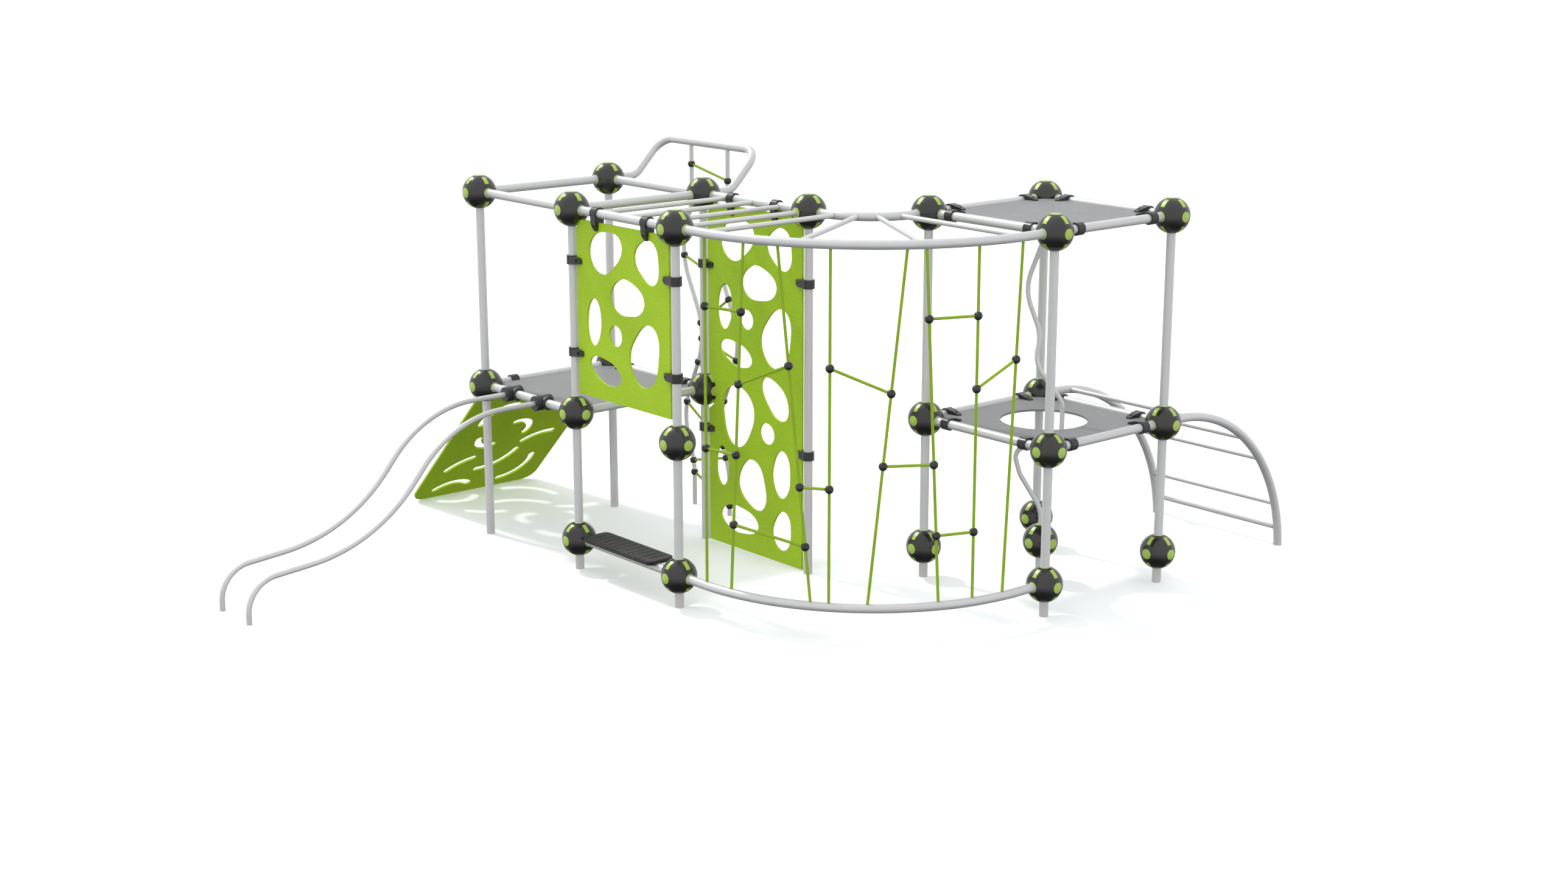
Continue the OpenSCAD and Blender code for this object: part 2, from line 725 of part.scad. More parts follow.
module front_panel() {
    color("yellowgreen") placed() difference() {
        upright(0) difference() {
            panel_outline(front_drop, front_drop + front_h);
            for (h = front_holes) pebble(h, front_k);
        }
        at_hangers(0, hanger_front) screw_hole();
        at_side_clamps(0, front_drop, panel_clamps) screw_hole();
    }
}

module tall_panel() {
    color("yellowgreen") placed() difference() {
        upright(1) difference() {
            panel_outline(tall_drop, top_z - tall_foot);
            for (h = front_holes) pebble(h, tall_k, low_shift);
            for (h = low_holes) pebble(h, tall_k);
            translate([-pitch / 2, mid_z - top_z]) circle(r = hub_r + 4 * hub_clear);
        }
        at_hangers(1, hanger_tall) screw_hole();
        at_side_clamps(1, tall_drop, tall_clamps) screw_hole();
    }
}

// Points along an arc about c, from angle a to angle b.
function arc(c, r, a, b, n) =
    [for (i = [0 : n]) let (t = a + (b - a) * i / n) c + r * [cos(t), sin(t)]];

// Curved slot with round ends.
module arc_slot(s) {
    c = [s[0], s[1]];
    h = slot_w / 2;
    scale(ramp_k) translate([(pitch / ramp_k - 900) / 2, 0])
        polygon(concat(
            arc(c, s[2] + h, s[3], s[4], 24),
            arc(c + s[2] * [cos(s[4]), sin(s[4])], h, s[4] + 15, s[4] + 165, 10),
            arc(c, s[2] - h, s[4], s[3], 24),
            arc(c + s[2] * [cos(s[3]), sin(s[3])], h, s[3] + 195, s[3] + 345, 10)));
}

// Ramp plate. Own X runs across the ramp, own Y runs up the slope from its foot.
module ramp() {
    foot_r = 90;
    top = ramp_len - deck_edge;
    c = corner_cut(0, deck_edge);
    edge = 2;
    color("yellowgreen") placed() difference() {
        framed([-ramp_len * cos(ramp_slope), 0, plate_t / 2 * cos(ramp_slope)], [0, 1, 0],
               [cos(ramp_slope), 0, sin(ramp_slope)])
            linear_extrude(height = plate_t, center = true) difference() {
                union() {
                    polygon([[edge, foot_r], [pitch - edge, foot_r], [pitch - edge, top - c],
                             [pitch - edge - c, top], [edge + c, top], [edge, top - c]]);
                    translate([edge + foot_r, 0]) square([pitch - 2 * edge - 2 * foot_r, foot_r]);
                    for (x = [edge + foot_r, pitch - edge - foot_r])
                        translate([x, foot_r]) circle(r = foot_r);
                }
                for (s = ramp_slots) arc_slot(s);
            }
        at_ramp_clamps() screw_hole();
    }
}

// ---------------------------------------------------------------- slide rails and step

slide_path = [[-585, 0], [-1098, 612], [-slide_run, 678]];

module slide_rails() {
    color("silver") placed() for (x = [slide_x, slide_x + slide_gap])
        tube_path([[x, -tube_r - 12, mid_z],
                   for (p = slide_path) [x, p[0], mid_z - p[1] * slide_k], [x, -slide_run, 0]],
                  [0, 675, 945, 180, 0], slide_d / 2, thin_wall);
}

// Barrel of a tee along Z with both rims chamfered.
module tee_barrel(r, h) {
    translate([0, 0, 3]) cylinder(r = r, h = h - 6);
    cylinder(r1 = r - 3, r2 = r, h = 3);
    translate([0, 0, h - 3]) cylinder(r1 = r, r2 = r - 3, h = 3);
}

module slide_tees() {
    color("#222222") placed() for (x = [slide_x, slide_x + slide_gap])
        translate([x, 0, mid_z]) difference() {
            union() {
                translate([-tee_l / 2, 0, 0]) rotate([0, 90, 0]) tee_barrel(37.5, tee_l);
                translate([0, tee_back, 0]) rotate([90, 0, 0]) tee_barrel(43, tee_back + 65);
            }
            rotate([0, 90, 0]) cylinder(r = tube_r + fit, h = 120, center = true);
            rotate([90, 0, 0]) cylinder(r = slide_d / 2 + fit, h = 90);
        }
}

module step_tread() {
    corner = 28;
    base = low_z + 20;
    color("#1c1c1c") placed() translate([1.5 * pitch - 32, 22, base]) difference() {
        linear_extrude(height = tread_t) union() {
            square([tread_len - 2 * corner, tread_w], center = true);
            square([tread_len, tread_w - 2 * corner], center = true);
            for (x = [-1, 1], y = [-1, 1])
                translate([x * (tread_len / 2 - corner), y * (tread_w / 2 - corner)])
                    circle(r = corner);
        }
        translate([0, -22, low_z - base]) rotate([0, 90, 0])
            cylinder(r = tube_r + fit, h = tread_len + 2, center = true);
        for (k = [-5 : 5]) {
            translate([k * 50 - 3, -tread_w / 2 + 34, tread_t - 3]) cube([6, tread_w - 54, 5]);
            translate([k * 50 - 3, -tread_w / 2 + 12, tread_t - 3]) cube([6, 12, 5]);
        }
    }
}

// ---------------------------------------------------------------- grab loop and rope ladder

loop_y = pitch + loop_out;
loop_z = top_z + loop_up;

module grab_loop() {
    color("silver") placed()
        tube_path([at(place_a2, top_z) + [0, hub_seat, 0], [0, pitch + 198, top_z],
                   [0, loop_y, loop_z], [pitch, loop_y, loop_z],
                   [pitch, pitch + 198, top_z], at(place_b2, top_z) + [0, hub_seat, 0]],
                  [0, 110, 110, 110, 110, 0], tube_r, tube_wall);
}

// Flat path [shift, height] of a ladder pole and its bends.
ladder_flat = concat([[0, loop_z]], [for (w = ladder_wave) [w[0], top_z * (1 - w[1])]],
                     [[0, 0]]);
ladder_bends = concat([0], [for (w = ladder_wave) ladder_bend], [0]);

function ladder_at(i, z) =
    [ladder_x[i] + path_x(ladder_flat, ladder_bends, z), loop_y, z];

module ladder_poles() {
    color("silver") placed() for (x = ladder_x) difference() {
        tube_path([for (p = ladder_flat) [x + p[0], loop_y, p[1]]], ladder_bends, rung_r,
                  thin_wall);
        rod([0, loop_y, loop_z], [pitch, loop_y, loop_z], tube_r + weld);
    }
}

// Bead on a pole or rope that runs from a to b, with a socket for the rope towards end.
module bead(a, b, bore_r, end) {
    mid = (a + b) / 2;
    difference() {
        translate(mid) sphere(r = bead_r, $fn = 72);
        rod(mid - unit(b - a) * 40, mid + unit(b - a) * 40, bore_r);
        if (len(end) == 3) rod(mid, mid + unit(end - mid) * 40, rope_r + 2 * fit);
    }
}

module ladder_beads() {
    color("#2b2b2b") placed() for (link = ladder_links, i = [0, 1])
        let (z = top_z * (1 - link[i]))
            bead(ladder_at(i, z + 12), ladder_at(i, z - 12), rung_r + 0.8,
                 ladder_at(1 - i, top_z * (1 - link[1 - i])));
}

// Rope between two bead middles that stops short of what runs through the beads.
module link_rope(p, q, stop) {
    d = unit(q - p);
    rod(p + d * stop, q - d * stop, rope_r);
}

module ladder_ropes() {
    color("yellowgreen") placed() for (link = ladder_links)
        link_rope(ladder_at(0, top_z * (1 - link[0])), ladder_at(1, top_z * (1 - link[1])),
                  rung_r + 4);
}

// ---------------------------------------------------------------- rope net

function net_top(i) = on_bend(outer_mid, outer_bend, net_ropes[i][0], top_z);
function net_foot(i) = on_bend(outer_mid, outer_bend, net_ropes[i][1], low_z);
function net_at(i, f) = net_top(i) + (net_foot(i) - net_top(i)) * f;
function net_bead(i, k) = net_at(i, net_ropes[i][2][k]);

// The other end of the short rope that starts at bead k of rope i, or an empty list.
function link_end(i, k) = concat(
    [for (n = net_links) if (n[0] == i && n[1] == k) net_bead(n[2], n[3])],
    [for (n = net_links) if (n[2] == i && n[3] == k) net_bead(n[0], n[1])], [[]])[0];

module net_ropes() {
    color("yellowgreen") placed() for (i = [0 : len(net_ropes) - 1]) difference() {
        rod(net_top(i), net_foot(i), rope_r);
        rod(net_top(i) - along(net_ropes[i][0]) * 60,
            net_top(i) + along(net_ropes[i][0]) * 60, tube_r + weld);
        rod(net_foot(i) - along(net_ropes[i][1]) * 60,
            net_foot(i) + along(net_ropes[i][1]) * 60, tube_r + weld);
    }
}

module net_beads() {
    color("#2b2b2b") placed()
        for (i = [0 : len(net_ropes) - 1], k = [0 : len(net_ropes[i][2]) - 1])
            let (down = unit(net_foot(i) - net_top(i)) * 12)
                bead(net_bead(i, k) - down, net_bead(i, k) + down, rope_r + fit,
                     link_end(i, k));
}

module net_links() {
    color("yellowgreen") placed() for (n = net_links)
        link_rope(net_bead(n[0], n[1]), net_bead(n[2], n[3]), rope_r + 2);
}

// ---------------------------------------------------------------- waved pole, arched ladder

module waved_pole() {
    mid = at(place_p, 0);
    diag = [1, 1, 0] / sqrt(2);
    drop = top_z - pole_hub_z;
    path = concat([mid + [0, 0, top_z - plate_t / 2 - fit]],
                  [for (w = pole_wave) mid + diag * w[0] + [0, 0, top_z - drop * w[1]]],
                  [mid + [0, 0, pole_hub_z + spigot_len + fit]]);
    color("silver") placed() {
        tube_path(path, concat([0], [for (w = pole_wave) w[2]], [0]), rung_r, thin_wall);
        translate(path[0] - [0, 0, 6]) difference() {
            cylinder(r = 42, h = 6);
            translate([0, 0, -1]) cylinder(r = rung_r - thin_wall, h = 8);
        }
    }
}

module arch_tubes() {
    color("silver") placed() for (x = [2.5, 3.5]) difference() {
        tube_path([[x * pitch, 2.5 * pitch + hub_seat, mid_z], [x * pitch, arch_y, mid_z],
                   [x * pitch, arch_y, -arch_sink - 10]], [0, arch_bend, 0], tube_r, tube_wall);
        translate([x * pitch - 50, arch_y - 150, -200]) cube([100, 300, 200]);
    }
}

module arch_rungs() {
    color("gainsboro") placed() for (a = arch_rungs)
        let (y = arch_y - arch_bend * (1 - sin(a)), z = mid_z - arch_bend * (1 - cos(a)),
             along = [0, cos(a), -sin(a)])
            rung([2.5 * pitch, y, z], [3.5 * pitch, y, z], along, along);
}

// ---------------------------------------------------------------- drawing

ground_posts();
stub_posts();
lower_posts();
upper_posts();
tall_post();
low_tower_top_rails();
low_tower_deck_rails();
tall_tower_top_rails();
tall_tower_deck_rails();
bridge_rails();
step_rail();
outer_rail_top();
outer_rail_bottom();
inner_rail_top();
bridge_rungs();
bridge_end_rung();
bend_rungs();
hub_cores();
hub_shells_top();
hub_shells_mid();
hub_shells_low();
hub_collars();
hub_caps();
hub_adapters();
hub_tabs_top();
hub_tabs_mid();
hub_tabs_low();
low_deck();
tall_deck_mid();
tall_deck_top();
front_panel();
tall_panel();
ramp();
deck_clamps_low();
deck_clamps_mid();
deck_clamps_top();
panel_clamps();
ramp_clamps();
clamp_screws();
slide_rails();
slide_tees();
step_tread();
grab_loop();
ladder_poles();
ladder_beads();
ladder_ropes();
net_ropes();
net_beads();
net_links();
waved_pole();
arch_tubes();
arch_rungs();
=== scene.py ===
"""Looks of a modular climbing frame: tubes, ball hubs, boards, clamps and laid ropes.

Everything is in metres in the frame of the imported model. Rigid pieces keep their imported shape
and get a finish. Ropes and welds are made here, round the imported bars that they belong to.
"""

import logging
import math
from dataclasses import dataclass, field
from enum import Enum
from typing import Any, Callable, Iterable, Sequence, Union

import bpy
import numpy as np
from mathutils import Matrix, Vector

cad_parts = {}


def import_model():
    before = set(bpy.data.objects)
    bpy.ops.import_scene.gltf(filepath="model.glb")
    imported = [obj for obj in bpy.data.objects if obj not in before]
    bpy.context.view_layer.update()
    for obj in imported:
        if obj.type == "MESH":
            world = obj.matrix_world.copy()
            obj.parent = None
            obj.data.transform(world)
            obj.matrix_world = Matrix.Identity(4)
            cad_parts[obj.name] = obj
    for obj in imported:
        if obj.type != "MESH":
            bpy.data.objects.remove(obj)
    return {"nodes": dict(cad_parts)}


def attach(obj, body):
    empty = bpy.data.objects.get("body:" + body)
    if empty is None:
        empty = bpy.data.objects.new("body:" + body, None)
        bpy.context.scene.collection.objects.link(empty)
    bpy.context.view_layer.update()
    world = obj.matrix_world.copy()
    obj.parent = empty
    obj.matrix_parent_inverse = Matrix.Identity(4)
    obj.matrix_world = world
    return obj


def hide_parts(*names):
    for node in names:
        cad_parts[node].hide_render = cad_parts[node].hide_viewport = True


log = logging.getLogger("climbing_frame")

BODY = "root"

Colour = tuple[float, float, float]
Number = Union[float, "Signal"]


class Lay(Enum):
    """Which way a rope's strands turn."""

    RIGHT = 1.0
    LEFT = -1.0


class Wear(Enum):
    """How much use a finish has seen."""

    FRESH = 0.25
    USED = 0.6
    WORN = 1.0


# ------------------------------------------------------------------ shader maths


@dataclass(frozen=True)
class Signal:
    """A socket of a material, so that shader maths reads as plain sums.

    Args:
        bench: The node bench that the socket belongs to.
        socket: The output socket itself.
    """

    bench: "Bench"
    socket: Any

    def _math(self, operation: str, a: Number, b: Number) -> "Signal":
        """Adds one Math node that works on a and b."""
        return self.bench.add("ShaderNodeMath", {"operation": operation}, {0: a, 1: b})

    def __add__(self, other: Number) -> "Signal":
        """Returns self + other."""
        return self._math("ADD", self, other)

    def __radd__(self, other: Number) -> "Signal":
        """Returns other + self."""
        return self._math("ADD", other, self)

    def __sub__(self, other: Number) -> "Signal":
        """Returns self - other."""
        return self._math("SUBTRACT", self, other)

    def __rsub__(self, other: Number) -> "Signal":
        """Returns other - self."""
        return self._math("SUBTRACT", other, self)

    def __mul__(self, other: Number) -> "Signal":
        """Returns self * other."""
        return self._math("MULTIPLY", self, other)

    def __rmul__(self, other: Number) -> "Signal":
        """Returns other * self."""
        return self._math("MULTIPLY", other, self)

    def clamp(self) -> "Signal":
        """Keeps the value between 0 and 1."""
        return self.bench.add("ShaderNodeClamp", {}, {"Value": self})

    def between(self, low: float, high: float) -> "Signal":
        """Turns low..high into a smooth 0..1.

        Args:
            low: Value that becomes 0.
            high: Value that becomes 1.

        Returns:
            The smoothed signal.
        """
        return self.bench.add(
            "ShaderNodeMapRange",
            {"interpolation_type": "SMOOTHSTEP"},
            {"Value": self, "From Min": low, "From Max": high},
        )


class Bench:
    """The node bench of one material."""

    def __init__(self, name: str) -> None:
        """Makes an empty material with a shader and an output.

        Args:
            name: Name of the material.
        """
        self.material = bpy.data.materials.new(name)
        self.material.use_nodes = True
        self.tree = self.material.node_tree
        self.tree.nodes.clear()
        self.shader = self.tree.nodes.new("ShaderNodeBsdfPrincipled")
        output = self.tree.nodes.new("ShaderNodeOutputMaterial")
        self.tree.links.new(self.shader.outputs["BSDF"], output.inputs["Surface"])

    def add(
        self,
        kind: str,
        settings: dict[str, Any],
        inputs: dict[Union[int, str], Any],
        output: Union[int, str] = 0,
    ) -> Signal:
        """Adds a node.

        Args:
            kind: Blender's name for the node.
            settings: Node settings, which are set first. "stops" fills a colour ramp.
            inputs: Values or signals for its sockets.
            output: Name or number of the output that is wanted.

        Returns:
            The wanted output.
        """
        node = self.tree.nodes.new(kind)
        for key, value in settings.items():
            if key == "stops":
                self._fill_ramp(node.color_ramp, value)
            else:
                setattr(node, key, value)
        for key, value in inputs.items():
            if isinstance(value, Signal):
                self.tree.links.new(value.socket, node.inputs[key])
            else:
                node.inputs[key].default_value = value
        return Signal(self, node.outputs[output])

    @staticmethod
    def _fill_ramp(ramp: bpy.types.ColorRamp, stops: Sequence[tuple[float, float]]) -> None:
        """Fills a grey colour ramp.

        Args:
            ramp: The ramp.
            stops: Position and brightness of each stop.
        """
        while len(ramp.elements) > 1:
            ramp.elements.remove(ramp.elements[-1])
        for i, (place, value) in enumerate(stops):
            element = ramp.elements[0] if i == 0 else ramp.elements.new(place)
            element.position = place
            element.color = (value, value, value, 1.0)

    def place(self, stretch: Colour = (1.0, 1.0, 1.0)) -> Signal:
        """Gives the place on the object in metres, stretched along each axis."""
        spot = self.add("ShaderNodeTexCoord", {}, {}, "Object")
        return self.add("ShaderNodeVectorMath", {"operation": "MULTIPLY"}, {0: spot, 1: stretch})

    def height(self) -> Signal:
        """Gives the height above the ground in metres."""
        spot = self.add("ShaderNodeTexCoord", {}, {}, "Object")
        return self.add("ShaderNodeSeparateXYZ", {}, {0: spot}, "Z")

    def noise(
        self, size: float, detail: float = 3.0, stretch: Colour = (1.0, 1.0, 1.0)
    ) -> Signal:
        """Gives a cloudy pattern.

        Args:
            size: Size of a cloud in metres.
            detail: How much fine detail the clouds have.
            stretch: Stretch of the pattern along each axis.

        Returns:
            A signal around 0.5.
        """
        return self.add(
            "ShaderNodeTexNoise",
            {},
            {"Vector": self.place(stretch), "Scale": 1.0 / size, "Detail": detail},
        )

    def blend(self, amount: Number, a: Any, b: Any) -> Signal:
        """Mixes two colours.

        Args:
            amount: 0 gives a and 1 gives b.
            a: First colour.
            b: Second colour.

        Returns:
            The mixed colour.
        """
        return self.add(
            "ShaderNodeMix",
            {"data_type": "RGBA", "clamp_factor": True},
            {0: amount, 6: a, 7: b},
            2,
        )

    def bump(self, heights: Signal, depth: float) -> Signal:
        """Turns a height pattern into a surface normal.

        Args:
            heights: The pattern, 0 to 1.
            depth: Depth of the pattern in metres.

        Returns:
            The normal.
        """
        return self.add(
            "ShaderNodeBump", {}, {"Height": heights, "Distance": depth, "Strength": 0.8}
        )

    def feed(self, **sockets: Any) -> None:
        """Sets shader sockets. An underscore in a name stands for a space."""
        for name, value in sockets.items():
            socket = self.shader.inputs[name.replace("_", " ")]
            if isinstance(value, Signal):
                self.tree.links.new(value.socket, socket)
            else:
                socket.default_value = value


def solid(colour: Colour) -> tuple[float, float, float, float]:
    """Adds full opacity to a colour."""
    return (*colour, 1.0)


def shade(colour: Colour, factor: float) -> tuple[float, float, float, float]:
    """Makes a colour darker or lighter, with full opacity."""
    return (*(min(1.0, c * factor) for c in colour), 1.0)


# ------------------------------------------------------------------ finishes


@dataclass(frozen=True)
class Finish:
    """What every finish has.

    Attributes:
        name: Name of the material.
        slot: Material slot of the record. Not used.
        colour: Main colour.
        roughness: Mean roughness.
        wear: How much use it has seen.
    """

    name: str
    slot: str
    colour: Colour
    roughness: float
    wear: Wear = Wear.USED

    def material(self) -> bpy.types.Material:
        """Makes the material, or finds it if it is already made."""
        if self.name in bpy.data.materials:
            return bpy.data.materials[self.name]
        bench = Bench(self.name)
        self.lay_on(bench)
        return bench.material

    def lay_on(self, bench: Bench) -> None:
        """Fills the bench with this finish."""
        raise NotImplementedError

    def put_on(self, piece: bpy.types.Object) -> None:
        """Gives a piece this finish."""
        piece.data.materials.clear()
        piece.data.materials.append(self.material())


@dataclass(frozen=True)
class TubeMetal(Finish):
    """Silver tube: drawn streaks, zinc clouds and hand wear.

    Attributes:
        metallic: How metallic it is.
        cloud: Size of the clouds in metres.
    """

    metallic: float = 0.3
    cloud: float = 0.05

    def lay_on(self, bench: Bench) -> None:
        """Fills the bench with streaked and clouded metal."""
        clouds = bench.noise(self.cloud, 5.0).between(0.3, 0.7)
        grain = bench.noise(0.0022, 2.0)
        rubs = bench.noise(0.16, 6.0, (1.0, 1.0, 0.35)).between(0.5, 0.72)
        dust = 1.0 - bench.height().between(0.02, 0.22)
        tone = (clouds * 0.35 + grain * 0.45 + rubs * 0.3 * self.wear.value).clamp()
        base = bench.blend(tone, shade(self.colour, 0.95), shade(self.colour, 1.04))
        base = bench.blend(dust * 0.15, base, solid((0.42, 0.39, 0.34)))
        bench.feed(
            Base_Color=base,
            Metallic=self.metallic,
            Roughness=(self.roughness + clouds * 0.04 - rubs * 0.04 + dust * 0.12).clamp(),
            Normal=bench.bump(grain, 0.00006),
        )


@dataclass(frozen=True)
class Moulded(Finish):
    """Moulded plastic: cloudy scuffs, a fine skin and a faint gloss.

    Attributes:
        scuff: Colour of the scuffs.
        scuff_amount: How strong the scuffs are.
        coat: Strength of the gloss.
        skin: Depth of the moulded skin in metres.
    """

    scuff: Colour = (0.3, 0.3, 0.28)
    scuff_amount: float = 0.25
    coat: float = 0.2
    skin: float = 0.00003

    def lay_on(self, bench: Bench) -> None:
        """Fills the bench with scuffed plastic."""
        clouds = bench.noise(0.07, 6.0).between(0.35, 0.75)
        specks = bench.noise(0.0015, 3.0)
        scratch = bench.noise(0.02, 8.0, (1.0, 3.0, 1.0)).between(0.58, 0.7)
        tone = bench.blend(specks, shade(self.colour, 0.9), shade(self.colour, 1.1))
        worn = (clouds * 0.8 + scratch * 0.5) * (self.scuff_amount * self.wear.value)
        bench.feed(
            Base_Color=bench.blend(worn, tone, solid(self.scuff)),
            Roughness=(self.roughness + clouds * 0.05 + scratch * 0.05).clamp(),
            Coat_Weight=self.coat,
            Coat_Roughness=0.07,
            Normal=bench.bump(specks, self.skin),
        )


@dataclass(frozen=True)
class Board(Finish):
    """Sheet plastic: a pebbled grain and long faint marks.

    Attributes:
        grain: Size of the grain in metres.
        depth: Depth of the grain in metres.
        mark: Colour of rubbed marks.
    """

    grain: float = 0.006
    depth: float = 0.0006
    mark: Colour = (0.7, 0.75, 0.55)

    def lay_on(self, bench: Bench) -> None:
        """Fills the bench with grained board."""
        pebbles = bench.noise(self.grain, 4.0).between(0.35, 0.65)
        clouds = bench.noise(0.3, 4.0).between(0.3, 0.7)
        rubs = bench.noise(0.05, 9.0, (1.0, 1.0, 2.5)).between(0.6, 0.74)
        tone = bench.blend(
            (pebbles * 0.75 + clouds * 0.25).clamp(),
            shade(self.colour, 0.82),
            shade(self.colour, 1.14),
        )
        bench.feed(
            Base_Color=bench.blend(rubs * (0.16 * self.wear.value), tone, solid(self.mark)),
            Roughness=(self.roughness + pebbles * 0.12 - rubs * 0.1).clamp(),
            Normal=bench.bump(pebbles, self.depth),
        )


@dataclass(frozen=True)
class Rubber(Finish):
    """Tread rubber: matt, with cloudy dust."""

    def lay_on(self, bench: Bench) -> None:
        """Fills the bench with dusty rubber."""
        crumbs = bench.noise(0.0025, 4.0)
        dust = bench.noise(0.06, 6.0).between(0.45, 0.75)
        tone = bench.blend(crumbs, shade(self.colour, 0.7), shade(self.colour, 1.4))
        bench.feed(
            Base_Color=bench.blend(dust * 0.18, tone, solid((0.3, 0.29, 0.27))),
            Roughness=(self.roughness + dust * 0.15).clamp(),
            Normal=bench.bump(crumbs, 0.0003),
        )


@dataclass(frozen=True)
class Fibre(Finish):
    """Rope yarn: fine fibres, with painted shade in the valleys between the yarns."""

    def lay_on(self, bench: Bench) -> None:
        """Fills the bench with yarn."""
        yarn = bench.noise(0.0011, 2.0, (1.0, 1.0, 0.3))
        fade = bench.noise(0.12, 4.0).between(0.35, 0.7)
        # Painted shade: the colour is darker where the yarn bump is low, in the valleys between
        # the yarns.
        tone = bench.blend(yarn, shade(self.colour, 0.62), shade(self.colour, 1.25))
        bench.feed(
            Base_Color=bench.blend(fade * 0.25, tone, shade(self.colour, 1.35)),
            Roughness=(self.roughness + yarn * 0.15).clamp(),
            Normal=bench.bump(yarn, 0.0004),
        )


@dataclass(frozen=True)
class WeldMetal(Finish):
    """Weld metal under zinc: rippled and duller than the tube."""

    def lay_on(self, bench: Bench) -> None:
        """Fills the bench with dull weld metal."""
        heat = bench.noise(0.008, 4.0)
        base = bench.blend(heat, shade(self.colour, 0.75), shade(self.colour, 1.1))
        bench.feed(
            Base_Color=base,
            Metallic=0.6,
            Roughness=(self.roughness + heat * 0.15).clamp(),
            Normal=bench.bump(heat, 0.0004),
        )


@dataclass(frozen=True)
class PaleFloor(Finish):
    """Plain pale studio floor that glows a little, so that shadows on it stay faint.

    Attributes:
        glow: Strength of the glow.
    """

    glow: float = 0.24

    def lay_on(self, bench: Bench) -> None:
        """Fills the bench with an even pale tone."""
        haze = bench.noise(1.5, 2.0)
        base = bench.blend(haze, shade(self.colour, 0.995), solid(self.colour))
        bench.feed(
            Base_Color=base,
            Roughness=self.roughness,
            Specular_IOR_Level=0.0,
            Emission_Color=solid(self.colour),
            Emission_Strength=self.glow,
        )


TUBE = TubeMetal("galvanised tube", "galvanised_tube", (0.66, 0.665, 0.675), 0.36)
RUNG = TubeMetal("rung tube", "rung_tube", (0.7, 0.7, 0.7), 0.34, cloud=0.03)
SLIDE = TubeMetal(
    "slide rail", "slide_tube", (0.66, 0.665, 0.675), 0.3, wear=Wear.WORN, cloud=0.08
)
SHELL = Moulded(
    "charcoal shell", "hub_shell", (0.012, 0.012, 0.0115), 0.26, scuff=(0.07, 0.068, 0.06),
    scuff_amount=0.2, coat=0.45,
)
CORE = Moulded("hub casting", "hub_core", (0.2, 0.2, 0.2), 0.5, coat=0.0)
LIME = Moulded(
    "lime moulding", "green_plastic", (0.40, 0.59, 0.07), 0.3, scuff=(0.55, 0.68, 0.3),
    scuff_amount=0.3,
)
PANEL = Board(
    "lime board", "panel_green", (0.41, 0.65, 0.005), 0.55, mark=(0.5, 0.66, 0.1),
    wear=Wear.FRESH,
)
DECK = Board(
    "grey deck board", "deck_grey", (0.235, 0.24, 0.245), 0.5, grain=0.005, depth=0.0005,
    mark=(0.5, 0.5, 0.5), wear=Wear.WORN,
)
CLAMP = Moulded(
    "black clamp moulding", "clamp_black", (0.008, 0.008, 0.0085), 0.34,
    scuff=(0.14, 0.14, 0.14), scuff_amount=0.3,
)
TREAD = Rubber("black tread rubber", "tread_black", (0.009, 0.009, 0.009), 0.46)
BEAD = Moulded(
    "rope bead moulding", "bead_black", (0.009, 0.0095, 0.01), 0.34, scuff=(0.12, 0.12, 0.12)
)
ROPE = Fibre("lime rope yarn", "rope_green", (0.30, 0.48, 0.015), 0.7)
SCREW = TubeMetal("screw steel", "screw_steel", (0.5, 0.5, 0.51), 0.3, metallic=0.9)
WELD = WeldMetal("weld metal", "rung_tube", (0.55, 0.55, 0.55), 0.42)
FLOOR = PaleFloor("pale floor", "", (0.9, 0.925, 0.94), 0.9)


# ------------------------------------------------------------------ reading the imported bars


@dataclass(frozen=True)
class Bar:
    """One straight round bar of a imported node.

    Attributes:
        start: One end of its axis.
        end: The other end of its axis.
        points: Its mesh points.
    """

    start: np.ndarray
    end: np.ndarray
    points: np.ndarray

    @property
    def along(self) -> np.ndarray:
        """Direction from start to end."""
        gap = self.end - self.start
        return gap / np.linalg.norm(gap)


def loose_parts(piece: bpy.types.Object) -> list[np.ndarray]:
    """Splits a piece's mesh points into its separate solids.

    Args:
        piece: A mesh object.

    Returns:
        The points of each solid.
    """
    mesh = piece.data
    points = np.empty(len(mesh.vertices) * 3)
    mesh.vertices.foreach_get("co", points)
    points = points.reshape(-1, 3)
    # Split normals double the points, so points in one place count as one.
    _, same = np.unique(np.round(points, 6), axis=0, return_inverse=True)
    same = same.reshape(-1)
    leader = np.arange(same.max() + 1)
    edges = np.empty(len(mesh.edges) * 2, int)
    mesh.edges.foreach_get("vertices", edges)
    pairs = same[edges.reshape(-1, 2)]
    while True:
        low = np.minimum(leader[pairs[:, 0]], leader[pairs[:, 1]])
        before = leader.copy()
        np.minimum.at(leader, pairs[:, 0], low)
        np.minimum.at(leader, pairs[:, 1], low)
        leader = leader[leader]
        if np.array_equal(before, leader):
            break
    group = leader[same]
    return [points[group == g] for g in np.unique(group)]


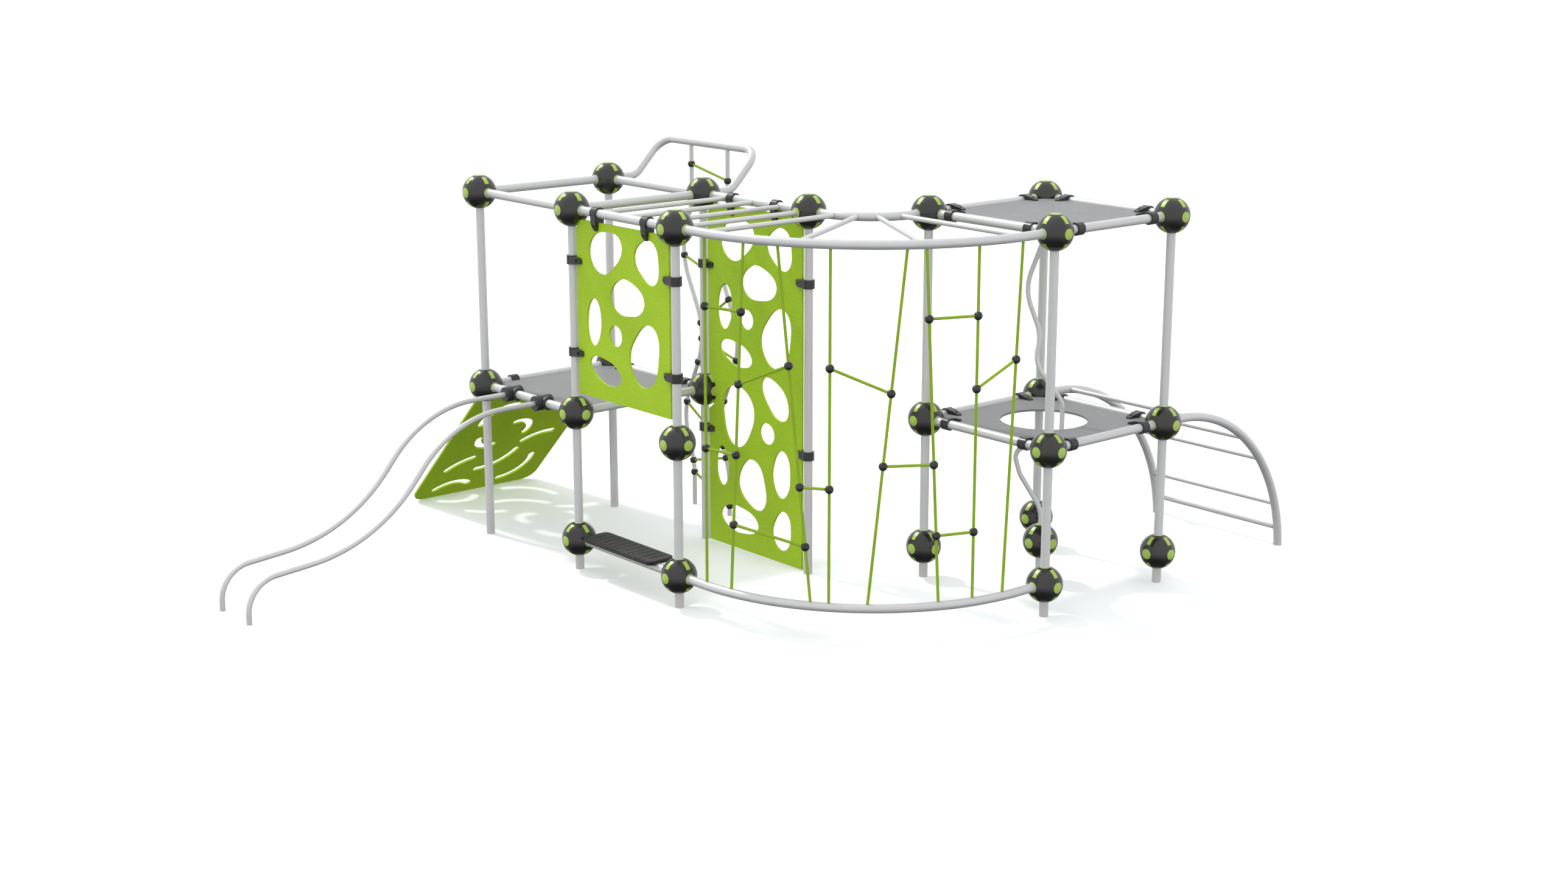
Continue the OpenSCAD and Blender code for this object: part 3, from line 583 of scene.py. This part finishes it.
def bar_through(points: np.ndarray) -> Bar:
    """Finds the axis of one straight round bar.

    Args:
        points: The bar's mesh points.

    Returns:
        The bar, which points along +X, or down if it is upright.
    """
    middle = (points.max(0) + points.min(0)) / 2
    axis = np.linalg.svd(points - points.mean(0), full_matrices=False)[2][0]
    axis = axis if axis[2] < -0.5 or axis[0] + 0.1 * axis[1] > 0 else -axis
    # The points aren't spread evenly round the bar, so each end's middle is taken from its width.
    for _ in range(4):
        side, up = cross_axes(axis)
        rel = points - middle
        reach, x, y = rel @ axis, rel @ side, rel @ up
        ends = []
        for half, tip in ((reach < 0, reach.min()), (reach > 0, reach.max())):
            across = side * (x[half].max() + x[half].min()) / 2
            high = up * (y[half].max() + y[half].min()) / 2
            ends.append(middle + across + high + axis * tip)
        middle = (ends[0] + ends[1]) / 2
        axis = (ends[1] - ends[0]) / np.linalg.norm(ends[1] - ends[0])
    return Bar(ends[0], ends[1], points)


def straight_bars(node: bpy.types.Object) -> list[Bar]:
    """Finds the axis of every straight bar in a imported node.

    Args:
        node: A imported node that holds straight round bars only.

    Returns:
        One Bar for each solid, in order along X then Y.
    """
    bars = [bar_through(points) for points in loose_parts(node)]
    return sorted(bars, key=lambda b: (round(b.start[0], 3), round(b.start[1], 3)))


# ------------------------------------------------------------------ meshes


def new_piece(
    name: str, points: np.ndarray, faces: Iterable[Sequence[int]], finish: Finish
) -> bpy.types.Object:
    """Makes a smooth mesh piece that rides on the frame.

    Args:
        name: Name of the piece.
        points: Its points.
        faces: Its faces.
        finish: Its finish.

    Returns:
        The new object.
    """
    mesh = bpy.data.meshes.new(name)
    mesh.from_pydata(points.tolist(), [], list(faces))
    mesh.polygons.foreach_set("use_smooth", [True] * len(mesh.polygons))
    mesh.update()
    piece = bpy.data.objects.new(name, mesh)
    bpy.context.scene.collection.objects.link(piece)
    finish.put_on(piece)
    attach(piece, BODY)
    return piece


def cross_axes(along: np.ndarray) -> tuple[np.ndarray, np.ndarray]:
    """Gives two directions square to a third.

    Args:
        along: Unit direction.

    Returns:
        Two unit directions.
    """
    guide = np.array([0.0, 0.0, 1.0]) if abs(along[2]) < 0.8 else np.array([1.0, 0.0, 0.0])
    side = np.cross(guide, along)
    side /= np.linalg.norm(side)
    return side, np.cross(along, side)


def ring_faces(rings: int, around: int, closed: bool) -> list[tuple[int, ...]]:
    """Joins rings of points with four-sided faces.

    Args:
        rings: Number of rings.
        around: Points in a ring.
        closed: True joins the last ring to the first. False closes both ends with a face.

    Returns:
        The faces.
    """
    faces: list[tuple[int, ...]] = []
    for i in range(rings if closed else rings - 1):
        a, b = i * around, (i + 1) % rings * around
        for j in range(around):
            k = (j + 1) % around
            faces.append((a + j, a + k, b + k, b + j))
    if not closed:
        faces.append(tuple(range(around - 1, -1, -1)))
        faces.append(tuple((rings - 1) * around + j for j in range(around)))
    return faces


@dataclass
class LaidRope:
    """A straight rope of strands laid round each other.

    Attributes:
        radius: Radius over the strands.
        strands: Number of strands.
        pitch: Length of one full turn of a strand.
        valley: Depth of the valleys as a share of the radius.
        lay: Which way the strands turn.
        step: Length between rings of points.
        around: Points round the rope.
    """

    radius: float = 0.0079
    strands: int = 6
    pitch: float = 0.085
    valley: float = 0.2
    lay: Lay = Lay.RIGHT
    step: float = 0.0055
    around: int = 24

    def build(self, name: str, bar: Bar) -> bpy.types.Object:
        """Makes the rope along an imported bar.

        Args:
            name: Name of the piece.
            bar: The bar it stands for.

        Returns:
            The rope.
        """
        length = float(np.linalg.norm(bar.end - bar.start))
        rings = max(3, int(length / self.step))
        side, up = cross_axes(bar.along)
        t = np.linspace(0.0, 1.0, rings)[:, None]
        angle = np.arange(self.around)[None, :] * 2 * math.pi / self.around
        turn = self.lay.value * 2 * math.pi * t * length / self.pitch
        bulge = np.abs(np.cos(self.strands * (angle - turn) / 2))
        r = self.radius * (1 - self.valley * (1 - bulge) ** 1.6)
        points = (
            bar.start
            + (t * length)[..., None] * bar.along
            + (r * np.cos(angle))[..., None] * side
            + (r * np.sin(angle))[..., None] * up
        )
        return new_piece(
            name, points.reshape(-1, 3), ring_faces(rings, self.around, False), ROPE
        )


@dataclass
class WeldBead:
    """A ring of weld metal round the end of a welded rung.

    Attributes:
        radius: Radius of the weld's section.
        ripples: Number of ripples round the ring.
        ripple: Height of the ripples as a share of the radius.
        count: Points along the ring.
        around: Points round the section.
    """

    radius: float = 0.0026
    ripples: int = 26
    ripple: float = 0.16
    count: int = 64
    around: int = 8

    def loop(self, bar: Bar, at_end: bool) -> np.ndarray:
        """Follows the rim where a rung meets its rail.

        Args:
            bar: The rung.
            at_end: True for the rung's end and False for its start.

        Returns:
            Points along the rim.
        """
        side, up = cross_axes(bar.along)
        rel = bar.points - (bar.start + bar.end) / 2
        reach, x, y = rel @ bar.along, rel @ side, rel @ up
        radius = np.hypot(x, y).max()
        rim = (np.hypot(x, y) > radius * 0.95) & ((reach > 0) == at_end)
        angles = np.arctan2(y[rim], x[rim])
        order = np.argsort(angles)
        wanted = np.linspace(-math.pi, math.pi, self.count, endpoint=False)
        place = np.interp(wanted, angles[order], reach[rim][order], period=2 * math.pi)
        middle = (bar.start + bar.end) / 2
        return (
            middle
            + place[:, None] * bar.along
            + (radius * np.cos(wanted))[:, None] * side
            + (radius * np.sin(wanted))[:, None] * up
        )

    def build(self, name: str, bars: Sequence[Bar]) -> bpy.types.Object:
        """Makes the welds at both ends of some rungs as one piece.

        Args:
            name: Name of the piece.
            bars: The rungs.

        Returns:
            The welds.
        """
        points: list[np.ndarray] = []
        faces: list[tuple[int, ...]] = []
        for bar in bars:
            for at_end in (False, True):
                rim = self.loop(bar, at_end)
                middle = rim.mean(0)
                base = sum(len(p) for p in points)
                out = rim - middle
                out -= (out @ bar.along)[:, None] * bar.along
                out /= np.linalg.norm(out, axis=1)[:, None]
                angle = np.arange(self.around) * 2 * math.pi / self.around
                wave = 1 + self.ripple * np.cos(
                    np.arange(self.count) * 2 * math.pi * self.ripples / self.count
                )
                r = (self.radius * wave)[:, None]
                ring = (
                    rim[:, None, :]
                    + (r * np.cos(angle))[..., None] * out[:, None, :]
                    + (r * np.sin(angle))[..., None] * bar.along
                )
                points.append(ring.reshape(-1, 3))
                faces += [
                    tuple(base + i for i in face)
                    for face in ring_faces(self.count, self.around, True)
                ]
        return new_piece(name, np.concatenate(points), faces, WELD)


# ------------------------------------------------------------------ sub-assemblies


@dataclass
class Assembly:
    """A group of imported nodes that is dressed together.

    Attributes:
        nodes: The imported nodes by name.
        dress_list: Finish of each node of this group.
    """

    nodes: dict[str, bpy.types.Object]
    dress_list: dict[str, Finish] = field(default_factory=dict)

    def build(self) -> list[bpy.types.Object]:
        """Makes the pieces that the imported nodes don't have."""
        return []

    def dress(self) -> None:
        """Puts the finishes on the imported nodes."""
        for name, finish in self.dress_list.items():
            finish.put_on(self.nodes[name])

    def make(self) -> None:
        """Builds and dresses the group, and reports it."""
        pieces = self.build()
        self.dress()
        log.info(
            "%s: %d nodes dressed, %d pieces made",
            type(self).__name__, len(self.dress_list), len(pieces),
        )


@dataclass
class MainTubes(Assembly):
    """Posts, rails, grab loop and arch tubes of silver tube."""

    names: tuple[str, ...] = (
        "ground_posts", "stub_posts", "lower_posts", "upper_posts", "tall_post",
        "low_tower_top_rails", "low_tower_deck_rails", "tall_tower_top_rails",
        "tall_tower_deck_rails", "bridge_rails", "step_rail", "outer_rail_top",
        "outer_rail_bottom", "inner_rail_top", "grab_loop", "arch_tubes",
    )

    def __post_init__(self) -> None:
        """Gives every tube the same finish."""
        self.dress_list = {name: TUBE for name in self.names}


@dataclass
class Rungs(Assembly):
    """Welded rungs of the bridge and of the arched ladder, with their welds."""

    weld: WeldBead = field(default_factory=WeldBead)
    welded: tuple[str, ...] = ("bridge_rungs", "bend_rungs", "arch_rungs")

    def __post_init__(self) -> None:
        """Gives every rung the same finish."""
        self.dress_list = {name: RUNG for name in (*self.welded, "bridge_end_rung")}

    def build(self) -> list[bpy.types.Object]:
        """Makes the weld rings at the rungs' ends."""
        return [
            self.weld.build("welds_" + name, straight_bars(self.nodes[name]))
            for name in self.welded
        ]


@dataclass
class Hubs(Assembly):
    """Ball hubs: cores, shells, port rings, caps and tabs."""

    def __post_init__(self) -> None:
        """Sorts the hub nodes by finish."""
        self.dress_list = {
            "hub_cores": CORE,
            "hub_shells_top": SHELL,
            "hub_shells_mid": SHELL,
            "hub_shells_low": SHELL,
            "hub_collars": LIME,
            "hub_caps": LIME,
            "hub_adapters": LIME,
            "hub_tabs_top": LIME,
            "hub_tabs_mid": LIME,
            "hub_tabs_low": LIME,
        }


@dataclass
class Boards(Assembly):
    """Decks, hole panels and the ramp."""

    def __post_init__(self) -> None:
        """Sorts the boards by finish."""
        self.dress_list = {
            "low_deck": DECK,
            "tall_deck_mid": DECK,
            "tall_deck_top": DECK,
            "front_panel": PANEL,
            "tall_panel": PANEL,
            "ramp": PANEL,
        }


@dataclass
class Clamps(Assembly):
    """Board clamps, slide tees and their screws."""

    def __post_init__(self) -> None:
        """Sorts the clamps by finish."""
        self.dress_list = {
            "deck_clamps_low": CLAMP,
            "deck_clamps_mid": CLAMP,
            "deck_clamps_top": CLAMP,
            "panel_clamps": CLAMP,
            "ramp_clamps": CLAMP,
            "slide_tees": CLAMP,
            "clamp_screws": SCREW,
        }


@dataclass
class SlideAndStep(Assembly):
    """The slide rails and the step tread."""

    def __post_init__(self) -> None:
        """Sorts the pieces by finish."""
        self.dress_list = {"slide_rails": SLIDE, "step_tread": TREAD}


@dataclass
class WavedPoles(Assembly):
    """The waved pole of the tall tower and the two poles of the rope ladder."""

    def __post_init__(self) -> None:
        """Gives the poles the rung finish."""
        self.dress_list = {"waved_pole": RUNG, "ladder_poles": RUNG}


@dataclass
class Ropework(Assembly):
    """Laid ropes and beads of the net and of the rope ladder."""

    upright: LaidRope = field(default_factory=LaidRope)
    cross: LaidRope = field(default_factory=lambda: LaidRope(lay=Lay.LEFT, step=0.005))

    def __post_init__(self) -> None:
        """Gives the beads their finish. The rope finish is also put on the hidden bars."""
        self.dress_list = {
            "net_beads": BEAD,
            "ladder_beads": BEAD,
            "net_ropes": ROPE,
            "net_links": ROPE,
            "ladder_ropes": ROPE,
        }

    def build(self) -> list[bpy.types.Object]:
        """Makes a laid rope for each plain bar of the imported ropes."""
        pieces = []
        for node, rope, label in (
            ("net_ropes", self.upright, "net_rope"),
            ("net_links", self.cross, "net_link"),
            ("ladder_ropes", self.cross, "ladder_rope"),
        ):
            for i, bar in enumerate(straight_bars(self.nodes[node])):
                piece = rope.build(f"{label}_{i + 1}", bar)
                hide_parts(node)
                pieces.append(piece)
        return pieces


# ------------------------------------------------------------------ studio


@dataclass
class Studio:
    """Floor, light and camera.

    Attributes:
        floor_half: Half of the floor's side.
        sky: Strength of the even white light from above.
        ground: Strength of the even white light from below.
        fade_from: Height of direction, -1 to 1, where the light starts to brighten.
        fade_to: Height of direction where it reaches the strength of the sky.
        sun: Strength of the key light.
        sun_angle: Width of the key light in degrees, which softens its shadows.
        sun_from: Direction that the key light comes from.
        eye: Camera's place.
        heading: Camera's heading in degrees from +X.
        tilt: Camera's tilt in degrees.
        lens: Camera's lens in millimetres on a sensor 36 mm wide.
    """

    floor_half: float = 150.0
    sky: float = 1.03
    ground: float = 0.1
    fade_from: float = -0.85
    fade_to: float = -0.02
    sun: float = 1.45
    sun_angle: float = 5.0
    sun_from: tuple[float, float, float] = (-0.648, -0.103, 0.749)
    eye: tuple[float, float, float] = (9.3672, -7.4982, 3.6866)
    heading: float = 139.405
    tilt: float = -14.144
    lens: float = 50.478

    def build_floor(self) -> None:
        """Makes the floor under the object."""
        h = self.floor_half
        mesh = bpy.data.meshes.new("floor")
        mesh.from_pydata([(-h, -h, 0), (h, -h, 0), (h, h, 0), (-h, h, 0)], [], [(0, 1, 2, 3)])
        floor = bpy.data.objects.new("floor", mesh)
        bpy.context.scene.collection.objects.link(floor)
        FLOOR.put_on(floor)
        # The floor throws no light back, so undersides get the dimmer light from below.
        floor.visible_diffuse = False
        floor.visible_glossy = False

    def light(self) -> None:
        """Sets the even light, which is darker from below, and the key light."""
        world = bpy.data.worlds.new("studio")
        bpy.context.scene.world = world
        world.use_nodes = True
        nodes, links = world.node_tree.nodes, world.node_tree.links
        way = nodes.new("ShaderNodeTexCoord")
        split = nodes.new("ShaderNodeSeparateXYZ")
        links.new(way.outputs["Generated"], split.inputs[0])
        fade = nodes.new("ShaderNodeMapRange")
        fade.interpolation_type = "SMOOTHSTEP"
        for name, value in (
            ("From Min", self.fade_from),
            ("From Max", self.fade_to),
            ("To Min", self.ground),
            ("To Max", self.sky),
        ):
            fade.inputs[name].default_value = value
        links.new(split.outputs["Z"], fade.inputs["Value"])
        background = nodes["Background"]
        background.inputs["Color"].default_value = (1.0, 1.0, 1.0, 1.0)
        links.new(fade.outputs[0], background.inputs["Strength"])
        lamp = bpy.data.lights.new("key", "SUN")
        lamp.energy = self.sun
        lamp.angle = math.radians(self.sun_angle)
        key = bpy.data.objects.new("key", lamp)
        key.rotation_mode = "QUATERNION"
        key.rotation_quaternion = Vector(self.sun_from).to_track_quat("Z", "Y")
        bpy.context.scene.collection.objects.link(key)
        bpy.context.scene.view_settings.view_transform = "Standard"

    def aim_camera(self) -> None:
        """Makes the camera."""
        a, e = math.radians(self.heading), math.radians(self.tilt)
        ahead = Vector((math.cos(e) * math.cos(a), math.cos(e) * math.sin(a), math.sin(e)))
        data = bpy.data.cameras.new("camera")
        data.sensor_width = 36.0
        data.lens = self.lens
        data.clip_end = 500.0
        camera = bpy.data.objects.new("camera", data)
        camera.location = self.eye
        camera.rotation_mode = "QUATERNION"
        camera.rotation_quaternion = ahead.to_track_quat("-Z", "Y")
        bpy.context.scene.collection.objects.link(camera)
        bpy.context.scene.camera = camera

    def make(self) -> None:
        """Builds the studio and reports it."""
        self.build_floor()
        self.light()
        self.aim_camera()
        log.info("studio: floor, key light and camera made")


def main() -> None:
    """Builds every sub-assembly in order."""
    logging.basicConfig(level=logging.INFO, format="%(name)s: %(message)s")
    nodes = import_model()["nodes"]
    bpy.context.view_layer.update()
    groups: tuple[Callable[..., Assembly], ...] = (
        MainTubes, Rungs, Hubs, Boards, Clamps, SlideAndStep, WavedPoles, Ropework,
    )
    for group in groups:
        group(nodes).make()
    Studio().make()


if __name__ == "__main__":
    main()
